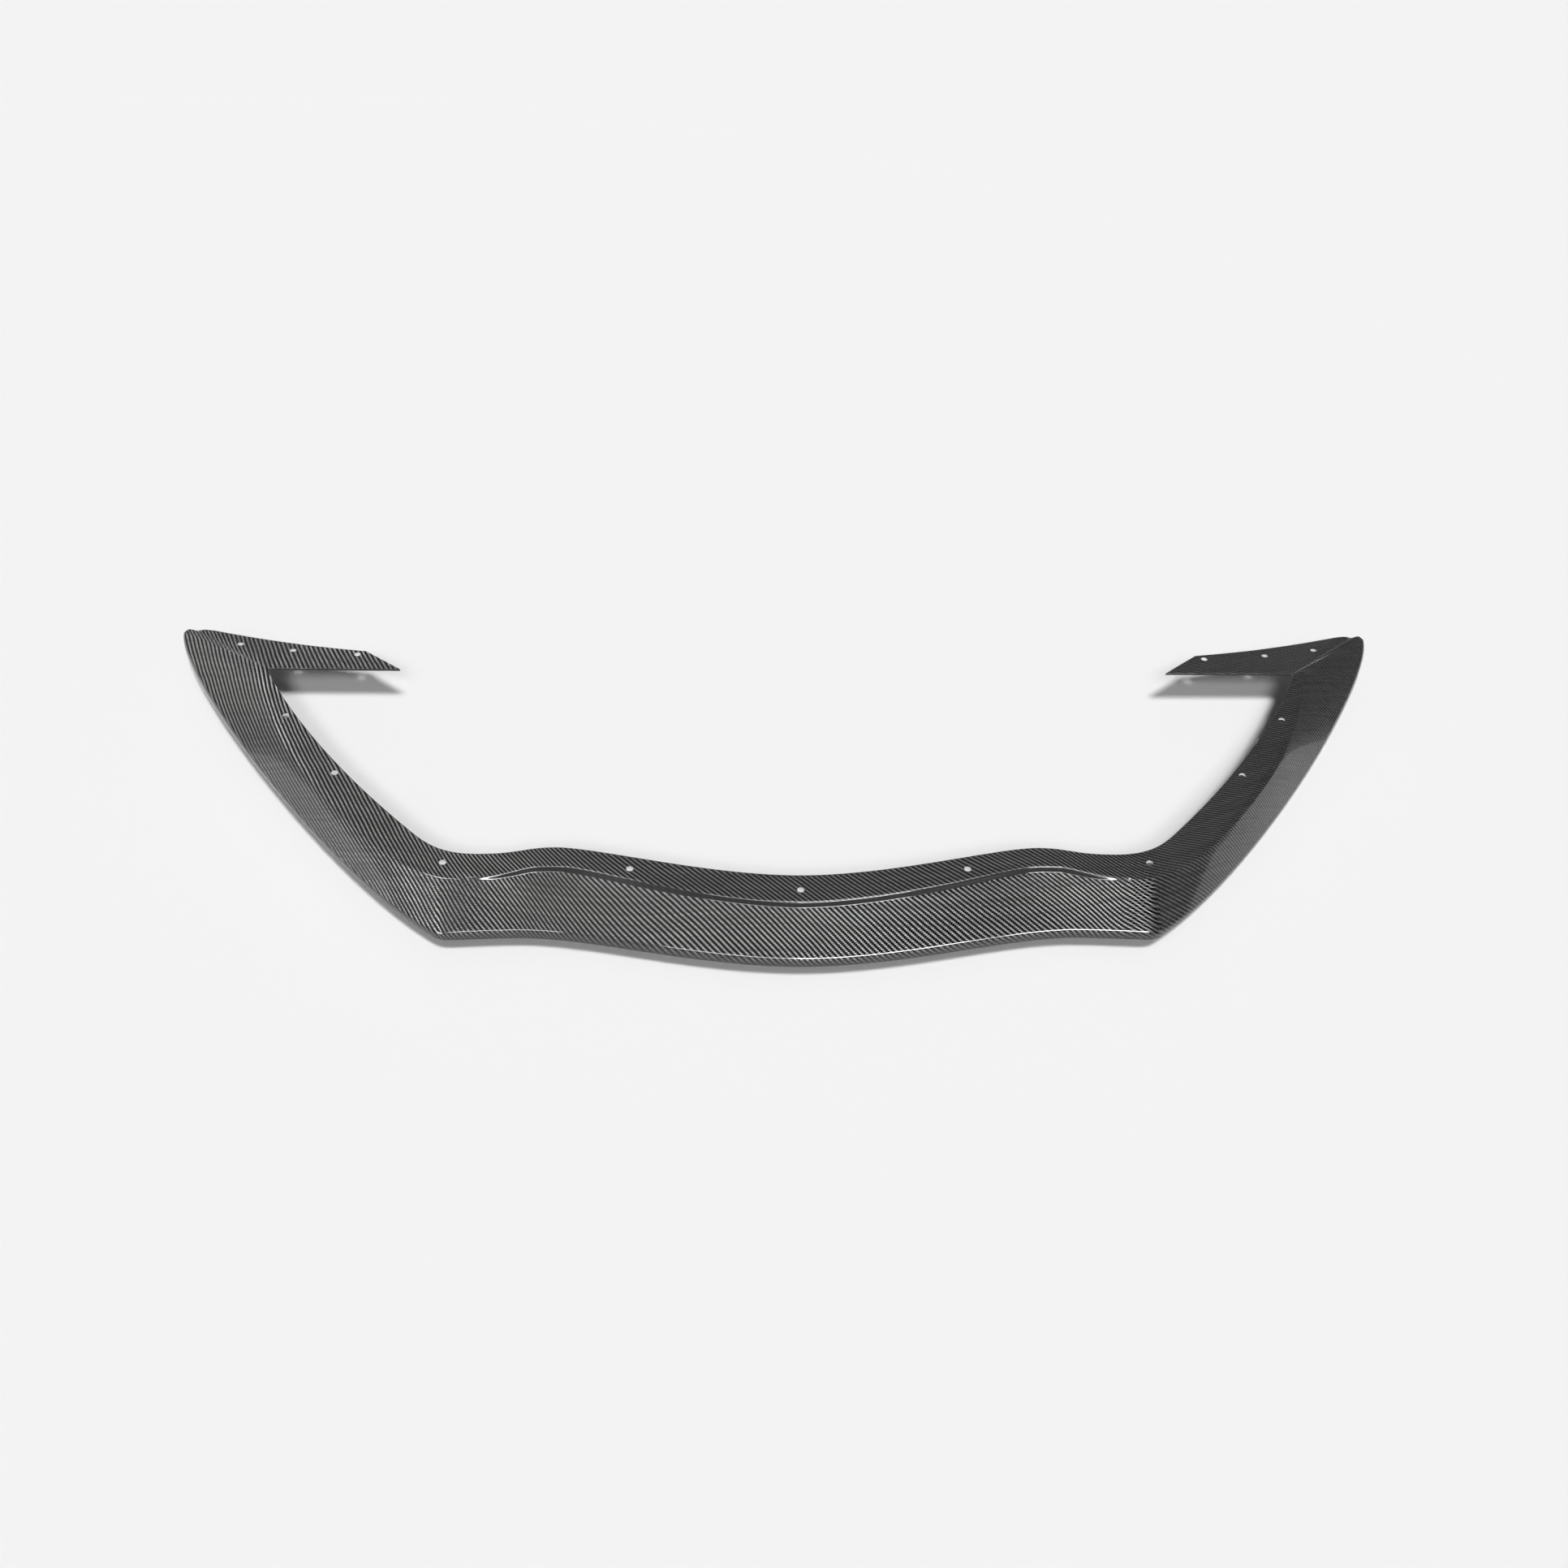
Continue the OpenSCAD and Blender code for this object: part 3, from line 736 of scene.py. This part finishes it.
# %% Floor
FLOOR_REACH, FLOOR_DROP, PAPER = 30.0, 0.034, 0.86
floor_corners = [(x * FLOOR_REACH, y * FLOOR_REACH, 0) for x, y in ((-1, -1), (1, -1), (1, 1), (-1, 1))]
floor_mesh = bpy.data.meshes.new("floor")
floor_mesh.from_pydata(floor_corners, [], [(0, 1, 2, 3)])
floor = bpy.data.objects.new("floor", floor_mesh)
bpy.context.scene.collection.objects.link(floor)
floor.location.z = -FLOOR_DROP
paper = bpy.data.materials.new("floor_paper")
tree, sheet = start_material(paper)
set_inputs(sheet, {"Base Color": (PAPER, PAPER, PAPER, 1), "Roughness": 0.9, "Specular IOR Level": 0.0})
floor_mesh.materials.append(paper)
print("The floor lies", FLOOR_DROP * PER_METRE, "mm under the lip")

# %% [markdown]
# ## World
#
# The world around the floor is pale just at the horizon and dark above, like a studio with pale walls
# and an unlit ceiling. The lacquer mirrors whatever is there, and a bright sky would wash out the
# black of the cloth.

# %% World
HORIZON, OVERHEAD, DARK_FROM = 0.4, 0.08, 0.1
world = bpy.data.worlds.new("studio")
bpy.context.scene.world = world
world.use_nodes = True
air = world.node_tree
air.nodes.clear()
sky, out = air.nodes.new("ShaderNodeBackground"), air.nodes.new("ShaderNodeOutputWorld")
air.links.new(sky.outputs[0], out.inputs["Surface"])
sky.inputs["Color"].default_value = (1, 1, 1, 1)
direction = air.nodes.new("ShaderNodeTexCoord")
height = air.nodes.new("ShaderNodeSeparateXYZ")
air.links.new(direction.outputs["Generated"], height.inputs[0])
fade = air.nodes.new("ShaderNodeMapRange")
set_inputs(fade, {"From Min": 0.0, "From Max": DARK_FROM, "To Min": HORIZON, "To Max": OVERHEAD})
air.links.new(height.outputs[2], fade.inputs["Value"])
air.links.new(fade.outputs[0], sky.inputs["Strength"])
print("World nodes:", len(air.nodes))

# %% [markdown]
# ## Lamps
#
# Two suns light the ground and nothing glossy. The key stands high in front, so that the shadow
# slips back under the part and leaves a narrow band in front of each edge. The fill shines from where
# the camera stands, so its own shadow hides behind the part, and it keeps the key's shadow a mid grey.
# The panels round the part are there only for the gloss. Those in front light one flank of each tow
# and draw the bright line on the rolled edge, and those at the left and behind do the same for the
# arms. Each stands where the smooth lacquer on the broad faces doesn't mirror it towards the camera,
# since a mirrored lamp would show as a white patch.

# %% Lamps
def looking_back(azimuth, elevation):
    """The way from the part to a lamp or camera: azimuth 0 is in front, 90 to the right, 180 behind."""
    a, e = math.radians(azimuth), math.radians(elevation)
    return Vector((math.sin(a) * math.cos(e), -math.cos(a) * math.cos(e), math.sin(e)))


SUN_DISTANCE, PANEL_DISTANCE = 5, 3.2


def add_lamp(name, kind, azimuth, elevation, distance):
    """A lamp that stands round the part and faces it."""
    lamp = bpy.data.objects.new(name, bpy.data.lights.new(name, kind))
    lamp.location = looking_back(azimuth, elevation) * distance
    lamp.rotation_euler = (-lamp.location).to_track_quat("-Z", "Y").to_euler()
    bpy.context.scene.collection.objects.link(lamp)
    return lamp


def sun_lamp(name, azimuth, elevation, strength, angle):
    """A sun that only lights matt surfaces. A wide angle gives a soft shadow."""
    sun = add_lamp(name, "SUN", azimuth, elevation, SUN_DISTANCE)
    sun.data.energy, sun.data.angle = strength, math.radians(angle)
    sun.visible_glossy = False


def glint_lamp(name, azimuth, elevation, radiance, wide=0.9, high=0.67):
    """A rectangular lamp that only shines on glossy surfaces. Its radiance is what a mirror would show."""
    lamp = add_lamp(name, "AREA", azimuth, elevation, PANEL_DISTANCE)
    lamp.data.shape, lamp.data.size, lamp.data.size_y = "RECTANGLE", wide, high
    lamp.data.energy = radiance * 4 * wide * high
    lamp.visible_diffuse = lamp.visible_camera = False


sun_lamp("key", 5, 57, 2.73, 8)
sun_lamp("fill", -4, 40, 1.14, 10)
glint_lamp("front_right", 18, 38, 30, wide=1.5)
glint_lamp("front_middle", 352, 38, 11, wide=1.4)
glint_lamp("front_left", 312, 14, 24)
glint_lamp("left_middle", 250, 38, 42)
glint_lamp("left_low", 260, 14, 13)
glint_lamp("behind_right", 160, 62, 12)
glint_lamp("behind_left", 222, 62, 26)
print("Lamps:", ", ".join(light.name for light in bpy.data.lights))

# %% [markdown]
# ## Camera
#
# The camera stands in front of the part and a few degrees to its left, 40 degrees above the floor and
# about 3.2 m away, and is rolled slightly, as it was for the photograph. These numbers come from a
# fit to the outline of the part and the places of its holes in the picture.

# %% Camera
AZIMUTH, ELEVATION, ROLL, VIEW_ANGLE, DISTANCE = -4.046, 40.0, 2.763, 36.213, 3.1996
TARGET = Vector((-0.0085, 0.014, 0.0))
back, r = looking_back(AZIMUTH, ELEVATION), math.radians(ROLL)
across_view = (-back).cross(Vector((0, 0, 1))).normalized()
up_view = across_view.cross(-back)
x_axis = math.cos(r) * across_view + math.sin(r) * up_view
y_axis = -math.sin(r) * across_view + math.cos(r) * up_view
camera = bpy.data.objects.new("camera", bpy.data.cameras.new("camera"))
camera.data.sensor_fit = "HORIZONTAL"
camera.data.angle = math.radians(VIEW_ANGLE)
turn = Matrix((x_axis, y_axis, back)).transposed().to_4x4()
camera.matrix_world = Matrix.Translation(TARGET + back * DISTANCE) @ turn
bpy.context.scene.collection.objects.link(camera)
bpy.context.scene.camera = camera
bpy.context.scene.view_settings.view_transform = "Standard"
print("Camera at:", [round(v, 3) for v in camera.matrix_world.translation])
